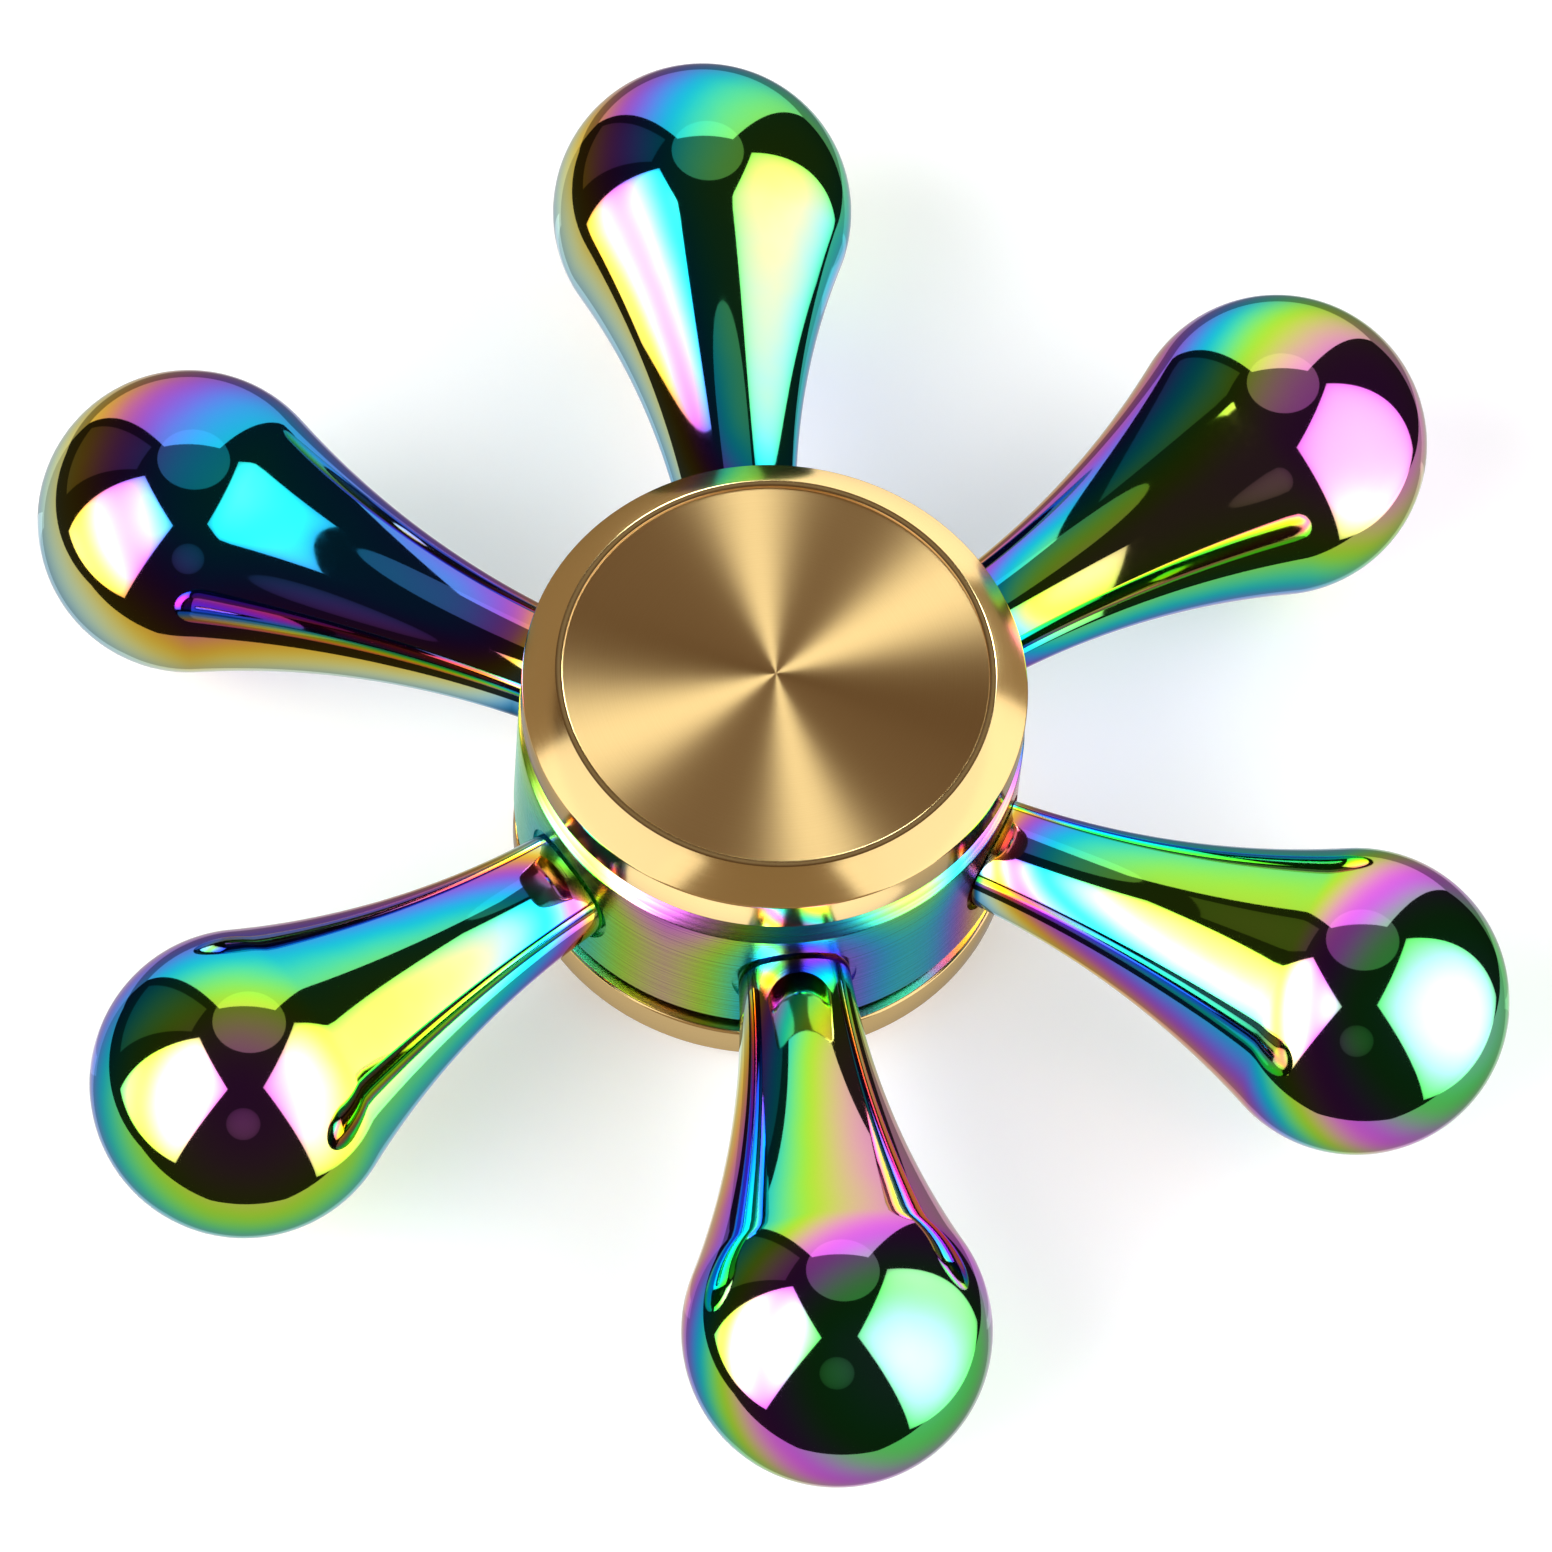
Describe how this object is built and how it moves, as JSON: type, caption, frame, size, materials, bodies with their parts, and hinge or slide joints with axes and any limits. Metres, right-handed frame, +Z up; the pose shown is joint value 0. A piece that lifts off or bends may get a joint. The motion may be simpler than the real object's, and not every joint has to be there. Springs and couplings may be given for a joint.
{
  "type": "fidget spinner",
  "caption": "Hand spinner: rainbow-coated metal hub with teardrop arms that turn on a small ball bearing between two brass-coloured finger caps.",
  "frame": {"origin": "centre of the ball bearing, on the spin axis, halfway between the two finger caps", "axes": "+Z up along the spin axis towards the upper cap, +X along drop arm 1; the arms follow every 60 degrees anticlockwise seen from +Z"},
  "size_m": [0.07, 0.0624, 0.016],
  "materials": {
    "rainbow_coated_metal": "mirror-polished zinc alloy with an iridescent vacuum coating",
    "rainbow_turned_metal": "lathe-turned zinc alloy with an iridescent vacuum coating, fine turning lines",
    "cap_brass": "turned brass colour, bright rim and bevel, fine circular grooves on the disc",
    "bearing_steel": "ground bearing steel",
    "ball_steel": "polished bearing balls",
    "cage_bronze": "satin bronze",
    "shield_steel": "pressed sheet steel",
    "spring_wire": "drawn spring wire"
  },
  "bodies": {
    "caps": {"upper_cap": "cap_brass", "lower_cap": "cap_brass", "inner_race": "bearing_steel"},
    "rotor": {"hub_ring": "rainbow_turned_metal", "drop_arm_1": "rainbow_coated_metal", "drop_arm_2": "rainbow_coated_metal", "drop_arm_3": "rainbow_coated_metal", "drop_arm_4": "rainbow_coated_metal", "drop_arm_5": "rainbow_coated_metal", "drop_arm_6": "rainbow_coated_metal", "outer_race": "bearing_steel", "upper_shield": "shield_steel", "lower_shield": "shield_steel", "upper_snap_ring": "spring_wire", "lower_snap_ring": "spring_wire"},
    "cage": {"ball_cage": "cage_bronze"},
    "ball_01": {"ball_01": "ball_steel"},
    "ball_02": {"ball_02": "ball_steel"},
    "ball_03": {"ball_03": "ball_steel"},
    "ball_04": {"ball_04": "ball_steel"},
    "ball_05": {"ball_05": "ball_steel"},
    "ball_06": {"ball_06": "ball_steel"},
    "ball_07": {"ball_07": "ball_steel"},
    "ball_08": {"ball_08": "ball_steel"},
    "ball_09": {"ball_09": "ball_steel"},
    "ball_10": {"ball_10": "ball_steel"}
  },
  "joints": [
    {"name": "rotor_spin", "type": "hinge", "parent": "caps", "child": "rotor", "pos_m": [0, 0, 0], "axis": [0, 0, 1], "continuous": true},
    {"name": "cage_orbit", "type": "hinge", "parent": "caps", "child": "cage", "pos_m": [0, 0, 0], "axis": [0, 0, 1], "continuous": true},
    {"name": "ball_01_roll", "type": "hinge", "parent": "cage", "child": "ball_01", "pos_m": [0.00453, 0.00147, 0], "axis": [0, 0, 1], "continuous": true},
    {"name": "ball_02_roll", "type": "hinge", "parent": "cage", "child": "ball_02", "pos_m": [0.0028, 0.00385, 0], "axis": [0, 0, 1], "continuous": true},
    {"name": "ball_03_roll", "type": "hinge", "parent": "cage", "child": "ball_03", "pos_m": [0, 0.00476, 0], "axis": [0, 0, 1], "continuous": true},
    {"name": "ball_04_roll", "type": "hinge", "parent": "cage", "child": "ball_04", "pos_m": [-0.0028, 0.00385, 0], "axis": [0, 0, 1], "continuous": true},
    {"name": "ball_05_roll", "type": "hinge", "parent": "cage", "child": "ball_05", "pos_m": [-0.00453, 0.00147, 0], "axis": [0, 0, 1], "continuous": true},
    {"name": "ball_06_roll", "type": "hinge", "parent": "cage", "child": "ball_06", "pos_m": [-0.00453, -0.00147, 0], "axis": [0, 0, 1], "continuous": true},
    {"name": "ball_07_roll", "type": "hinge", "parent": "cage", "child": "ball_07", "pos_m": [-0.0028, -0.00385, 0], "axis": [0, 0, 1], "continuous": true},
    {"name": "ball_08_roll", "type": "hinge", "parent": "cage", "child": "ball_08", "pos_m": [0, -0.00476, 0], "axis": [0, 0, 1], "continuous": true},
    {"name": "ball_09_roll", "type": "hinge", "parent": "cage", "child": "ball_09", "pos_m": [0.0028, -0.00385, 0], "axis": [0, 0, 1], "continuous": true},
    {"name": "ball_10_roll", "type": "hinge", "parent": "cage", "child": "ball_10", "pos_m": [0.00453, -0.00147, 0], "axis": [0, 0, 1], "continuous": true}
  ],
  "couplings": [
    {"joint": "cage_orbit", "follows": "rotor_spin", "ratio": 0.58336},
    {"joint": "ball_01_roll", "follows": "rotor_spin", "ratio": 2.9157},
    {"joint": "ball_02_roll", "follows": "rotor_spin", "ratio": 2.9157},
    {"joint": "ball_03_roll", "follows": "rotor_spin", "ratio": 2.9157},
    {"joint": "ball_04_roll", "follows": "rotor_spin", "ratio": 2.9157},
    {"joint": "ball_05_roll", "follows": "rotor_spin", "ratio": 2.9157},
    {"joint": "ball_06_roll", "follows": "rotor_spin", "ratio": 2.9157},
    {"joint": "ball_07_roll", "follows": "rotor_spin", "ratio": 2.9157},
    {"joint": "ball_08_roll", "follows": "rotor_spin", "ratio": 2.9157},
    {"joint": "ball_09_roll", "follows": "rotor_spin", "ratio": 2.9157},
    {"joint": "ball_10_roll", "follows": "rotor_spin", "ratio": 2.9157}
  ]
}
